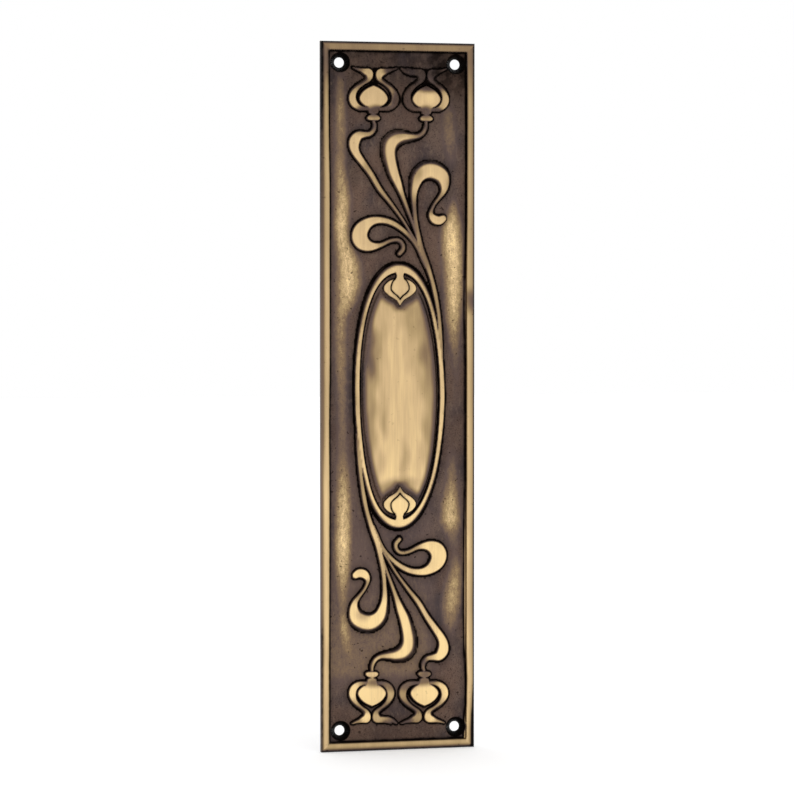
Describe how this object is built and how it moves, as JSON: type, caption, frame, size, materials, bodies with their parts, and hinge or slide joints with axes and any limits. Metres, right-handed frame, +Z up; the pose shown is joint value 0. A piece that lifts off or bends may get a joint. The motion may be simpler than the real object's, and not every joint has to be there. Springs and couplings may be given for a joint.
{
  "type": "door finger plate",
  "caption": "Cast brass finger plate for a door, with a moulded rim, poppy stems in relief, an oval domed pad and countersunk corner holes.",
  "frame": {"origin": "centre of the flat back face, where the plate meets the door", "axes": "+Z up the plate's length, +X across it to the right, the decorated face looks towards -Y"},
  "size_m": [0.067, 0.004, 0.3],
  "materials": {
    "antique_brass": "cast brass, dark patina in the sunk field and rubbed bright on the relief and rim"
  },
  "bodies": {
    "root": {"door_plate": "antique_brass"}
  },
  "joints": []
}
